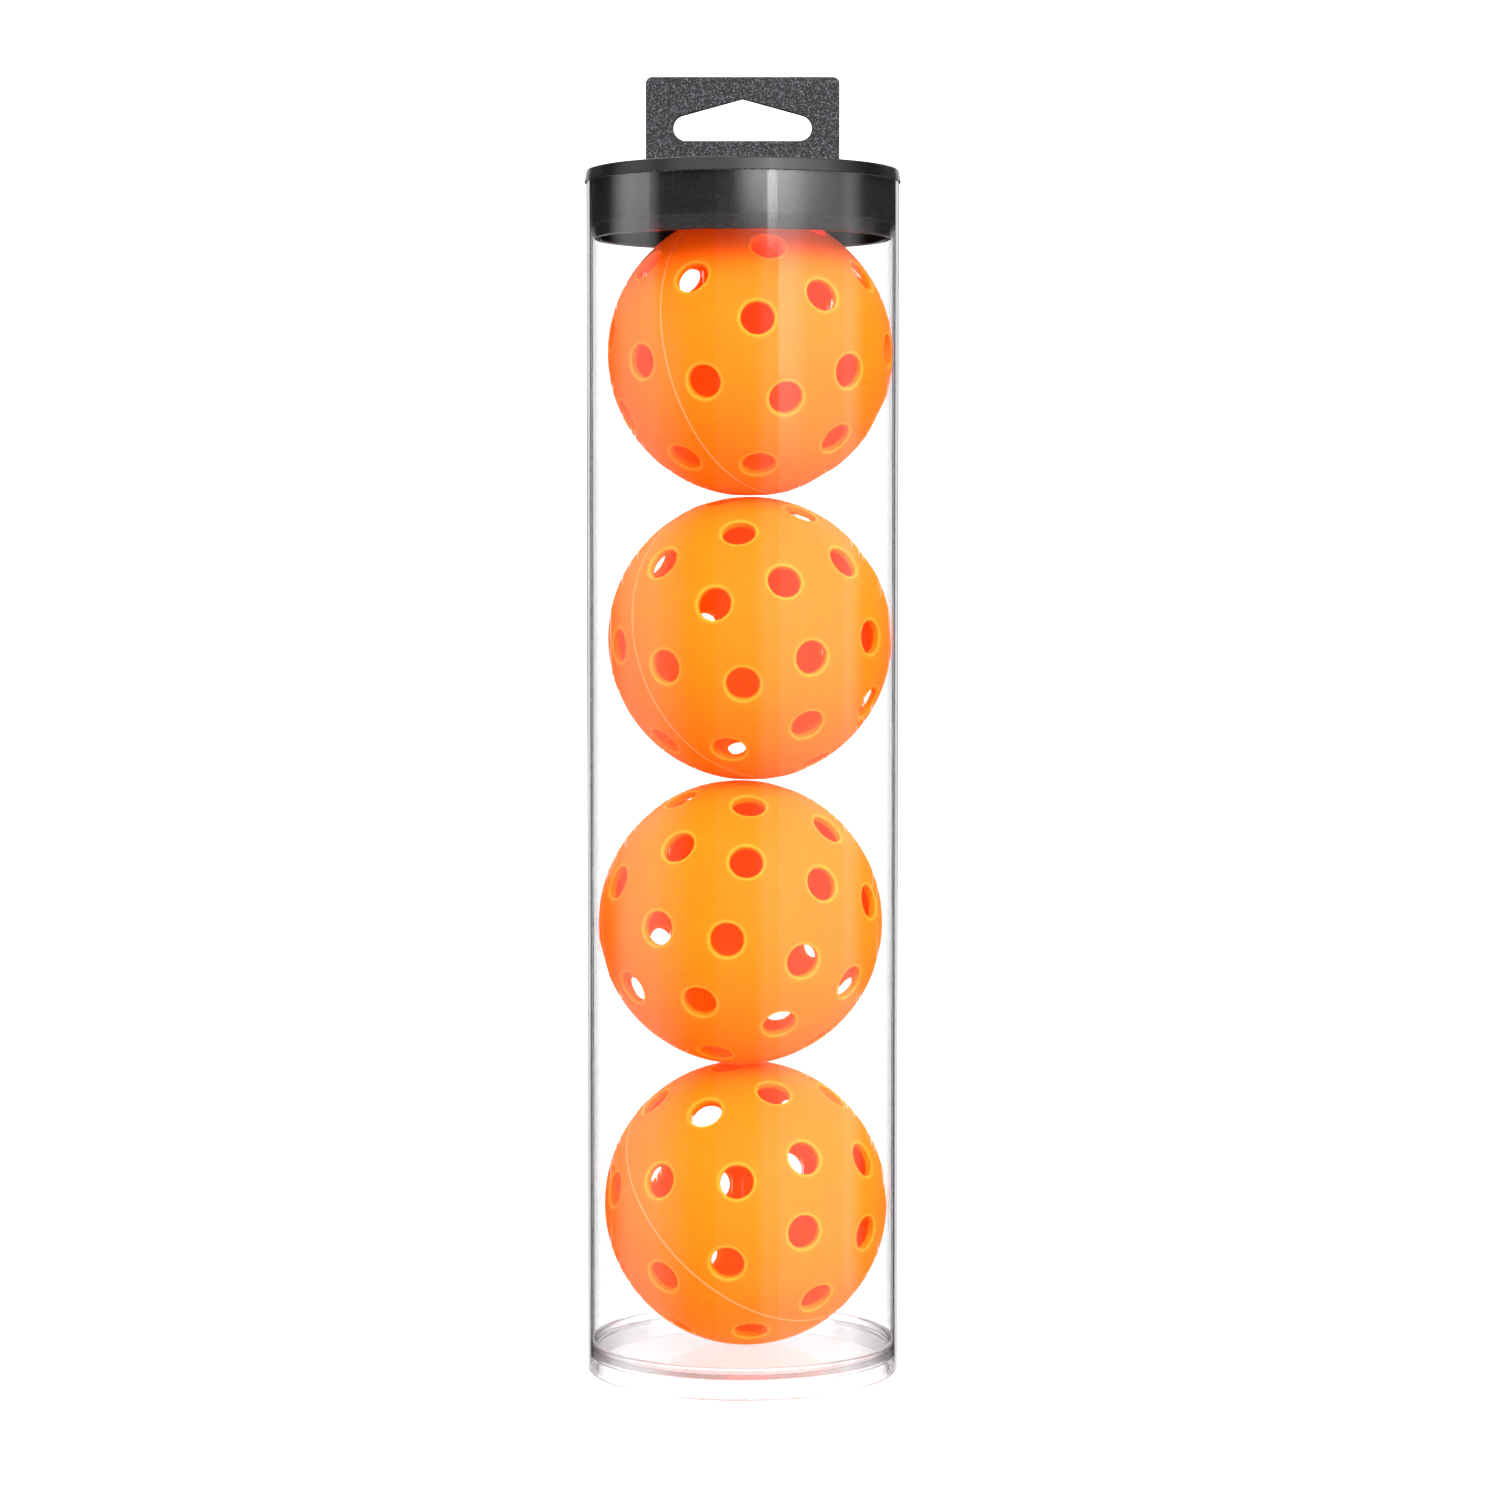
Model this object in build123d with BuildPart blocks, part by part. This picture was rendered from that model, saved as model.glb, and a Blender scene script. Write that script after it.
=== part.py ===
from build123d import *
import os
from math import asin, cos, degrees, hypot, pi, radians, sin, sqrt

# A clear tube of four hollow balls, shut by a plug at its foot and by a cap with a hanging tab.
# Millimetres, +Z up. The origin is on the tube's axis, at the surface the pack stands on.

# Balls: two half shells each, welded at the seam, with rings of round holes
ball_diameter = 73.8
ball_wall = 1.8
hole_diameter = 8.4
hole_edge_radius = 0.6
hole_rings = (  # latitude above the seam, number of holes, turn of the first one
    (13.3, 8, 0.0),
    (40.0, 8, 22.5),
    (66.8, 4, 0.0),
)
clear_meridian = 34.8  # a turn at which no hole lies between the pole and the seam
half_turn = 15.0  # how far one half is turned against the other before they are welded
bead_width = 0.4
bead_height = 0.12
tongue_height = 0.8
tongue_thickness = 0.8
tongue_clearance = 0.05

# How each ball lies in the tube, from the top one down: the shares of the side room that it has
# taken up along X and Y, then the bearing and lean of its seam axis, and its turn about that axis
ball_lies = (
    ((0.62, -0.26), (-36.0, 78.0, -28.0)),
    ((0.60, 0.28), (-53.0, 76.0, -31.0)),
    ((-0.18, -0.38), (-75.0, 80.0, 28.0)),
    ((0.26, 0.32), (-42.0, 48.0, 35.0)),
)
ball_gap = 0.1
side_room = 3.1
head_room = 7.3

# Tube
tube_wall = 0.5

# Plug: a flange that the tube stands on, a spigot inside the tube and a raised floor
flange_height = 4.6
flange_wall = 2.6
flange_edge_radius = 0.5
floor_height = 6.3
floor_thickness = 1.2
spigot_height = 3.6
spigot_wall = 1.6
spigot_edge_radius = 0.7
spigot_clearance = 0.1

# Cap: a rim over the tube's mouth, a skirt inside it and an upright tab with a hanging slot
rim_height = 3.2
rim_overhang = 0.5
rim_draft = 0.6
rim_edge_radius = 0.5
rim_seat_clearance = 0.05
disc_thickness = 2.0
skirt_depth = 14.7
skirt_wall = 1.4
skirt_edge_radius = 0.5
skirt_clearance = 0.1
lead_in_height = 4.0
lead_in_depth = 1.4
tab_width = 50.2
tab_height = 24.1
tab_thickness = 1.8
tab_corner_radius = 1.7
tab_edge_radius = 0.3
tab_root_radius = 0.5
slot_width = 35.8
slot_height = 10.7
slot_end_radius = 3.3
slot_peak_radius = 0.8
slot_rise = 7.6  # from the cap's top face to the slot's flat edge

# Worked out from the sizes above
ball_radius = ball_diameter / 2
inner_radius = ball_radius - ball_wall
hole_radius = hole_diameter / 2
tube_inner_radius = ball_radius + side_room
tube_outer_radius = tube_inner_radius + tube_wall


def ball_centres():
    """Centres of the balls from the top one down, each resting on the one below it."""
    places = [(x * side_room, y * side_room) for (x, y), _ in reversed(ball_lies)]
    centres = [Vector(*places[0], floor_height + ball_gap + ball_radius)]
    for x, y in places[1:]:
        below = centres[-1]
        aside = hypot(x - below.X, y - below.Y)
        rise = sqrt((ball_diameter + ball_gap) ** 2 - aside**2)
        centres.append(Vector(x, y, below.Z + rise))
    return centres[::-1]


def seam_plane(centre, bearing, lean, turn):
    """Plane of a ball's seam. Its Z is the axis of the first half's holes."""
    leaned = Location(centre, (0, 0, bearing)) * Location((0, 0, 0), (0, lean, 0))
    return Plane(leaned * Location((0, 0, 0), (0, 0, turn)))


def turned_x(plane, turn):
    """A plane's X direction, turned about its Z by an angle in degrees."""
    return plane.x_dir * cos(radians(turn)) + plane.y_dir * sin(radians(turn))


def other_half(seam):
    """The same seam seen from the second half, which is turned round by its own amount."""
    return Plane(seam.origin, x_dir=turned_x(seam, -half_turn), z_dir=-seam.z_dir)


def hole_planes(seam):
    """Planes of one half's holes, on the ball's surface and facing outwards."""
    planes = []
    for latitude, count, first in hole_rings:
        level = radians(latitude)
        for step in range(count):
            around = radians(first + 360 * step / count)
            outwards = Vector(cos(level) * cos(around), cos(level) * sin(around), sin(level))
            outwards = seam.from_local_coords(outwards) - seam.origin
            planes.append(Plane(seam.origin + outwards * ball_radius, z_dir=outwards))
    return planes


def half_shell(name, seam, has_tongue):
    """One half of a ball, on the +Z side of its seam, with the tongue or the rebate for it."""
    bead_angle = degrees(asin(bead_width / 2 / ball_radius))
    bead_radius = bead_width**2 / (8 * bead_height) + bead_height / 2
    tongue_radius = inner_radius + tongue_thickness
    rebate_radius = tongue_radius + tongue_clearance
    rebate_height = tongue_height + tongue_clearance
    rebate_angle = degrees(asin(rebate_height / inner_radius))
    upright = Plane(
        seam.origin,
        x_dir=turned_x(seam, clear_meridian),
        z_dir=turned_x(seam, clear_meridian - 90),
    )

    with BuildPart() as shell:
        with BuildSketch(upright):
            with BuildLine():
                outer = CenterArc((0, 0), ball_radius, bead_angle, 90 - bead_angle)
                bead = RadiusArc(outer @ 0, (ball_radius + bead_height, 0), bead_radius)
                if has_tongue:
                    inner = CenterArc((0, 0), inner_radius, 0, 90)
                    Polyline(
                        bead @ 1,
                        (tongue_radius, 0),
                        (tongue_radius, -tongue_height),
                        (inner_radius, -tongue_height),
                        inner @ 0,
                    )
                else:
                    inner = CenterArc((0, 0), inner_radius, rebate_angle, 90 - rebate_angle)
                    Polyline(
                        bead @ 1,
                        (rebate_radius, 0),
                        (rebate_radius, rebate_height),
                        inner @ 0,
                    )
                Line(inner @ 1, outer @ 1)
            make_face()
        revolve(axis=Axis(seam.origin, seam.z_dir))
        with Locations(*hole_planes(seam)):
            Hole(hole_radius, depth=2 * ball_wall)
        middle_radius = ball_radius - ball_wall / 2
        longest_rim = 1.5 * pi * hole_diameter  # well over a hole's rim, well under the seam
        rims = shell.edges().filter_by(
            lambda edge: edge.is_closed
            and edge.length < longest_rim
            and (edge.center(CenterOf.MASS) - seam.origin).length > middle_radius
        )
        fillet(rims, hole_edge_radius)
    shell.part.label = name
    export_step(shell.part, f"parts/{name}.step")


os.makedirs("parts", exist_ok=True)

# Balls, one at a time from the top
centres = ball_centres()
for number, (centre, (_, lie)) in enumerate(zip(centres, ball_lies), start=1):
    seam = seam_plane(centre, *lie)
    half_shell(f"ball_{number}_shell_a", seam, has_tongue=True)
    half_shell(f"ball_{number}_shell_b", other_half(seam), has_tongue=False)

# Tube, from the plug's flange to a little above the top ball
tube_top = centres[0].Z + ball_radius + head_room
with BuildPart() as tube:
    with BuildSketch(Plane.XY.offset(flange_height)):
        Circle(tube_outer_radius)
        Circle(tube_inner_radius, mode=Mode.SUBTRACT)
    extrude(amount=tube_top - flange_height)
tube.part.label = "tube"
export_step(tube.part, "parts/tube.step")

# Plug at the foot, hollow underneath
spigot_radius = tube_inner_radius - spigot_clearance
with BuildPart() as base_cap:
    with BuildSketch(Plane.XZ):
        with BuildLine():
            Polyline(
                (0, floor_height),
                (spigot_radius - spigot_wall, floor_height),
                (spigot_radius - spigot_wall, flange_height + spigot_height),
                (spigot_radius, flange_height + spigot_height),
                (spigot_radius, flange_height),
                (tube_outer_radius, flange_height),
                (tube_outer_radius, 0),
                (tube_outer_radius - flange_wall, 0),
                (tube_outer_radius - flange_wall, floor_height - floor_thickness),
                (0, floor_height - floor_thickness),
                close=True,
            )
        make_face()
    revolve(axis=Axis.Z)
    foot_edges = base_cap.edges().filter_by_position(Axis.Z, 0, 0)
    fillet(foot_edges, flange_edge_radius)
    spigot_edges = base_cap.edges().group_by(Axis.Z)[-1]
    fillet(spigot_edges, min(spigot_edge_radius, 0.45 * spigot_wall))
base_cap.part.label = "base_cap"
export_step(base_cap.part, "parts/base_cap.step")

# Cap, with its tab standing on the middle of the disc
rim_base = tube_top + rim_seat_clearance
cap_top = rim_base + rim_height
rim_radius = tube_outer_radius + rim_overhang
skirt_radius = tube_inner_radius - skirt_clearance
skirt_foot = tube_top - skirt_depth
lead_in_top = skirt_foot + lead_in_height
with BuildPart() as hang_cap:
    with BuildSketch(Plane.XZ) as tab:
        with BuildLine():
            tab_base = cap_top - disc_thickness / 2
            Polyline(
                (-tab_width / 2, tab_base),
                (tab_width / 2, tab_base),
                (tab_width / 2, cap_top + tab_height),
                (-tab_width / 2, cap_top + tab_height),
                close=True,
            )
        make_face()
        fillet(tab.vertices().group_by(Axis.Y)[-1], tab_corner_radius)
    extrude(amount=tab_thickness / 2, both=True)
    with BuildSketch(Plane.XZ):
        slot_base = cap_top + slot_rise
        end_reach = slot_width / 2 - slot_end_radius
        with Locations((-end_reach, slot_base + slot_end_radius)):
            Circle(slot_end_radius)
        with Locations((end_reach, slot_base + slot_end_radius)):
            Circle(slot_end_radius)
        with Locations((0, slot_base + slot_height - slot_peak_radius)):
            Circle(slot_peak_radius)
        make_hull()
    extrude(amount=tab_thickness, both=True, mode=Mode.SUBTRACT)
    tab_faces = hang_cap.faces().filter_by(Axis.Y)
    fillet(tab_faces.edges(), tab_edge_radius)
    with BuildSketch(Plane.XZ):
        with BuildLine():
            Polyline(
                (0, cap_top),
                (rim_radius - rim_draft, cap_top),
                (rim_radius, rim_base),
                (skirt_radius, rim_base),
                (skirt_radius, lead_in_top),
                (skirt_radius - lead_in_depth, skirt_foot),
                (skirt_radius - lead_in_depth - skirt_wall, skirt_foot),
                (skirt_radius - skirt_wall, lead_in_top),
                (skirt_radius - skirt_wall, cap_top - disc_thickness),
                (0, cap_top - disc_thickness),
                close=True,
            )
        make_face()
    revolve(axis=Axis.Z)
    disc_edges = hang_cap.edges().filter_by_position(Axis.Z, cap_top, cap_top)
    fillet(disc_edges.filter_by(Axis.X), tab_root_radius)
    fillet(disc_edges.filter_by(GeomType.CIRCLE).sort_by(SortBy.RADIUS)[-1], rim_edge_radius)
    fillet(hang_cap.edges().group_by(Axis.Z)[0], min(skirt_edge_radius, 0.4 * skirt_wall))
hang_cap.part.label = "hang_cap"
export_step(hang_cap.part, "parts/hang_cap.step")
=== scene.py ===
"""Visual model of a clear tube pack of perforated balls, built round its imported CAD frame."""

import math

import bmesh
import bpy
import numpy as np
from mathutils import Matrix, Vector


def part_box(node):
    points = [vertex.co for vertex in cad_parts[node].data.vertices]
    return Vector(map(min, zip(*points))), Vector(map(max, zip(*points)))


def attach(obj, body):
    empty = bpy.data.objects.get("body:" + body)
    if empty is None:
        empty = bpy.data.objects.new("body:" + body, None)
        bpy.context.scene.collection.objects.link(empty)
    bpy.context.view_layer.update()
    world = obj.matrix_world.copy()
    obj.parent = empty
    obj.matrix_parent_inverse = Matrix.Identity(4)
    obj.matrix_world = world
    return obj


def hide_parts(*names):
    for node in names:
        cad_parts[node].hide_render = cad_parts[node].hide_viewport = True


bl_info = {
    "name": "Ball Tube Pack",
    "version": (1, 0, 0),
    "blender": (4, 5, 0),
    "location": "View3D > Sidebar > Ball Pack",
    "description": "Makes the balls, tube, plug, cap and studio of a clear tube pack",
    "category": "Object",
}

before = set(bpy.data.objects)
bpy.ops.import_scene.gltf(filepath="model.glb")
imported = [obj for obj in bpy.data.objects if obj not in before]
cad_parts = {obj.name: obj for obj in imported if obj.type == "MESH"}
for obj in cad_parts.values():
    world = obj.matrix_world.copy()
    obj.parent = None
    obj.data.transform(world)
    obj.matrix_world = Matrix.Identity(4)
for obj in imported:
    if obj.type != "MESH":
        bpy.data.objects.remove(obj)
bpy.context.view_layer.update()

MM = 0.001

# Holes of one half ball: latitude above the seam in degrees, number of holes, turn of the first
HOLE_RINGS = ((13.3, 8, 0.0), (40.0, 8, 22.5), (66.8, 4, 0.0))

# How finely the meshes are cut
RIM_STEPS = 48  # points round a hole
SEAM_STEPS = 360  # points round the seam, so that halves meet at any whole degree of turn
EDGE_STEPS = 6  # bands in a hole's rounded edge
BEAD_STEPS = 4  # bands in half of the weld bead
FILL_DETAIL = 6  # subdivisions of the skin between the holes
FILL_MARGIN = 0.7 * MM  # bare strip beside a hole's rim or the seam
SEAM_TOLERANCE = 0.01 * MM
TURN_STEPS = 360  # points round the tube and the plug
CORNER_STEPS = 5  # bands in a rounded corner
FLAT_HOLD = 0.08 * MM  # how near its ends a long run is held flat
BALL_CREASE = math.radians(42)  # a corner that turns further than this stays sharp
TURNED_CREASE = math.radians(50)

# How each ball lies in the tube: bearing and lean of its seam axis, and turn about it, in degrees
BALL_LIES = {
    "ball_1": (-36.0, 78.0, -28.0),
    "ball_2": (-53.0, 76.0, -31.0),
    "ball_3": (-75.0, 80.0, 28.0),
    "ball_4": (-42.0, 48.0, 35.0),
}


# ---------------------------------------------------------------- settings


def length_property(name, description, default_mm, **limits):
    """A length kept in metres, with its default given in millimetres."""
    return bpy.props.FloatProperty(
        name=name,
        description=description,
        default=default_mm * MM,
        subtype="DISTANCE",
        unit="LENGTH",
        precision=5,
        **limits,
    )


class BallSizes(bpy.types.PropertyGroup):
    diameter: length_property("Diameter", "Outside diameter of a ball", 73.8)
    wall: length_property("Wall", "Thickness of a ball's wall", 1.8)
    hole_diameter: length_property("Hole diameter", "Diameter of an air hole", 8.4)
    hole_edge: length_property("Hole edge", "Radius of a hole's rounded outer edge", 0.6)
    bead_width: length_property("Bead width", "Width of the weld bead along the seam", 0.4)
    bead_height: length_property("Bead height", "How far the weld bead stands proud", 0.12)
    half_turn: bpy.props.FloatProperty(
        name="Half turn",
        description="How far one half is turned against the other",
        default=math.radians(15.0),
        subtype="ANGLE",
        unit="ROTATION",
    )


class TubeSizes(bpy.types.PropertyGroup):
    wall: length_property("Wall", "Thickness of the tube's wall", 0.5)
    lip: length_property("Lip", "Radius of the tube's cut edges", 0.12)
    flange_height: length_property("Flange height", "Height of the plug's flange", 4.6)
    flange_wall: length_property("Flange wall", "Thickness of the plug's flange", 2.6)
    floor_height: length_property("Floor height", "Height of the plug's floor", 6.3)
    floor_wall: length_property("Floor wall", "Thickness of the plug's floor", 1.2)
    spigot_wall: length_property("Spigot wall", "Thickness of the plug's spigot", 1.6)
    spigot_gap: length_property("Spigot gap", "Gap between spigot and tube", 0.1)


# ---------------------------------------------------------------- helpers


def linear(code):
    """Turns an sRGB hex colour into a linear RGBA one."""
    channels = [int(code[i : i + 2], 16) / 255 for i in (1, 3, 5)]
    return (*(c / 12.92 if c <= 0.04045 else ((c + 0.055) / 1.055) ** 2.4 for c in channels), 1.0)


def add(tree, kind, inputs=None, **settings):
    """Adds a node with its settings. An input given as a socket is linked, and a value is set."""
    node = tree.nodes.new(kind)
    for name, value in settings.items():
        setattr(node, name, value)
    for key, value in (inputs or {}).items():
        if isinstance(value, bpy.types.NodeSocket):
            tree.links.new(value, node.inputs[key])
        else:
            node.inputs[key].default_value = value
    return node


def geometry_tree(name, inputs, outputs=(("Geometry", "NodeSocketGeometry"),)):
    """An empty geometry tree with its named sockets, and its input node."""
    tree = bpy.data.node_groups.new(name, "GeometryNodeTree")
    for label, kind in inputs:
        tree.interface.new_socket(label, in_out="INPUT", socket_type=kind)
    for label, kind in outputs:
        tree.interface.new_socket(label, in_out="OUTPUT", socket_type=kind)
    return tree, tree.nodes.new("NodeGroupInput").outputs


def finished(piece, body, slot_name, *replaced):
    """Puts a finished piece in the frame: it rides on a body and stands for CAD nodes."""
    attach(piece, body)
    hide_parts(*replaced)
    return piece


# ---------------------------------------------------------------- balls


def hole_points_tree():
    """Directions of one half's holes, as points on a unit sphere, ring by ring."""
    tree, _ = geometry_tree("Half Ball Holes", ())
    rings = []
    for latitude, count, first in HOLE_RINGS:
        level = math.radians(latitude)
        index = add(tree, "GeometryNodeInputIndex").outputs[0]
        around = add(
            tree,
            "ShaderNodeMath",
            {0: index, 1: math.tau / count, 2: math.radians(first)},
            operation="MULTIPLY_ADD",
        ).outputs[0]
        place = add(
            tree,
            "ShaderNodeVectorRotate",
            {"Vector": (math.cos(level), 0, math.sin(level)), "Angle": around},
            rotation_type="Z_AXIS",
        ).outputs[0]
        ring = add(tree, "GeometryNodePoints", {"Count": count, "Position": place})
        rings.append(ring.outputs[0])
    joined = add(tree, "GeometryNodeJoinGeometry")
    for ring in rings:
        tree.links.new(ring, joined.inputs[0])
    add(tree, "NodeGroupOutput", {0: joined.outputs[0]})
    return tree


def perforated_skin_tree():
    """A half sphere with round openings: the hull of the openings' rims, the seam's ring and a fill
    of evenly spread points, less the faces that close the openings and the seam side."""
    tree, given = geometry_tree(
        "Perforated Skin",
        (
            ("Holes", "NodeSocketGeometry"),
            ("Radius", "NodeSocketFloat"),
            ("Opening Radius", "NodeSocketFloat"),
            ("Seam Level", "NodeSocketFloat"),
            ("Fill Detail", "NodeSocketInt"),
        ),
    )
    holes, radius = given["Holes"], given["Radius"]
    opening, level = given["Opening Radius"], given["Seam Level"]
    place = add(tree, "GeometryNodeInputPosition").outputs[0]
    outwards = add(tree, "ShaderNodeVectorMath", {0: place}, operation="NORMALIZE").outputs[0]

    # Rims of the openings, turned to face outwards
    radius_squared = add(tree, "ShaderNodeMath", {0: radius, 1: radius}, operation="MULTIPLY")
    opening_squared = add(tree, "ShaderNodeMath", {0: opening, 1: opening}, operation="MULTIPLY")
    height_squared = add(
        tree,
        "ShaderNodeMath",
        {0: radius_squared.outputs[0], 1: opening_squared.outputs[0]},
        operation="SUBTRACT",
    )
    height = add(tree, "ShaderNodeMath", {0: height_squared.outputs[0]}, operation="SQRT")
    lifted = add(
        tree, "ShaderNodeVectorMath", {0: outwards, "Scale": height.outputs[0]}, operation="SCALE"
    )
    centres = add(
        tree, "GeometryNodeSetPosition", {"Geometry": holes, "Position": lifted.outputs[0]}
    )
    facing = add(tree, "FunctionNodeAlignRotationToVector", {"Vector": outwards}, axis="Z")
    circle = add(tree, "GeometryNodeMeshCircle", {"Vertices": RIM_STEPS, "Radius": opening})
    rims = add(
        tree,
        "GeometryNodeInstanceOnPoints",
        {
            "Points": centres.outputs[0],
            "Instance": circle.outputs[0],
            "Rotation": facing.outputs[0],
        },
    )
    rims = add(tree, "GeometryNodeRealizeInstances", {0: rims.outputs[0]})

    # Ring along the seam
    level_squared = add(tree, "ShaderNodeMath", {0: level, 1: level}, operation="MULTIPLY")
    ring_squared = add(
        tree,
        "ShaderNodeMath",
        {0: radius_squared.outputs[0], 1: level_squared.outputs[0]},
        operation="SUBTRACT",
    )
    ring_radius = add(tree, "ShaderNodeMath", {0: ring_squared.outputs[0]}, operation="SQRT")
    ring = add(
        tree,
        "GeometryNodeMeshCircle",
        {"Vertices": SEAM_STEPS, "Radius": ring_radius.outputs[0]},
    )
    lift = add(tree, "ShaderNodeCombineXYZ", {"Z": level})
    ring = add(
        tree, "GeometryNodeTransform", {"Geometry": ring.outputs[0], "Translation": lift.outputs[0]}
    )

    # Fill, kept off the rims and the seam by a margin
    sphere = add(
        tree,
        "GeometryNodeMeshIcoSphere",
        {"Radius": radius, "Subdivisions": given["Fill Detail"]},
    )
    from_hole = add(
        tree,
        "GeometryNodeProximity",
        {"Geometry": holes, "Sample Position": outwards},
        target_element="POINTS",
    ).outputs["Distance"]
    kept_off = add(tree, "ShaderNodeMath", {0: opening, 1: FILL_MARGIN}, operation="ADD")
    reach = add(
        tree, "ShaderNodeMath", {0: kept_off.outputs[0], 1: radius}, operation="DIVIDE"
    ).outputs[0]
    near_hole = add(
        tree, "FunctionNodeCompare", {"A": from_hole, "B": reach}, operation="LESS_THAN"
    ).outputs[0]
    up = add(tree, "ShaderNodeSeparateXYZ", {0: place}).outputs["Z"]
    band = add(tree, "ShaderNodeMath", {0: level, 1: FILL_MARGIN}, operation="ADD").outputs[0]
    near_seam = add(
        tree, "FunctionNodeCompare", {"A": up, "B": band}, operation="LESS_THAN"
    ).outputs[0]
    cleared = add(
        tree, "FunctionNodeBooleanMath", {0: near_hole, 1: near_seam}, operation="OR"
    ).outputs[0]
    fill = add(
        tree,
        "GeometryNodeDeleteGeometry",
        {"Geometry": sphere.outputs[0], "Selection": cleared},
        domain="POINT",
    )

    # Hull, opened at the holes and at the seam
    cloud = add(tree, "GeometryNodeJoinGeometry")
    for part in (rims, ring, fill):
        tree.links.new(part.outputs[0], cloud.inputs[0])
    hull = add(tree, "GeometryNodeConvexHull", {0: cloud.outputs[0]})
    inside = add(
        tree, "ShaderNodeMath", {0: opening, 1: radius}, operation="DIVIDE"
    ).outputs[0]
    over_hole = add(
        tree, "FunctionNodeCompare", {"A": from_hole, "B": inside}, operation="LESS_THAN"
    ).outputs[0]
    seam_side = add(
        tree, "ShaderNodeMath", {0: level, 1: SEAM_TOLERANCE}, operation="ADD"
    ).outputs[0]
    over_seam = add(
        tree, "FunctionNodeCompare", {"A": up, "B": seam_side}, operation="LESS_THAN"
    ).outputs[0]
    closing = add(
        tree, "FunctionNodeBooleanMath", {0: over_hole, 1: over_seam}, operation="OR"
    ).outputs[0]
    opened = add(
        tree,
        "GeometryNodeDeleteGeometry",
        {"Geometry": hull.outputs[0], "Selection": closing},
        domain="FACE",
    )
    add(tree, "NodeGroupOutput", {0: opened.outputs[0]})
    return tree


def grown_edge_tree():
    """Grows a band of faces from the selected edges to new places."""
    tree, given = geometry_tree(
        "Grown Edge",
        (
            ("Geometry", "NodeSocketGeometry"),
            ("Selection", "NodeSocketBool"),
            ("Place", "NodeSocketVector"),
        ),
        (("Geometry", "NodeSocketGeometry"), ("Edge", "NodeSocketBool")),
    )
    grown = add(
        tree,
        "GeometryNodeExtrudeMesh",
        {"Mesh": given["Geometry"], "Selection": given["Selection"], "Offset Scale": 0.0},
        mode="EDGES",
    )
    moved = add(
        tree,
        "GeometryNodeSetPosition",
        {
            "Geometry": grown.outputs["Mesh"],
            "Selection": grown.outputs["Top"],
            "Position": given["Place"],
        },
    )
    add(tree, "NodeGroupOutput", {0: moved.outputs[0], 1: grown.outputs["Top"]})
    return tree


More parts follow.
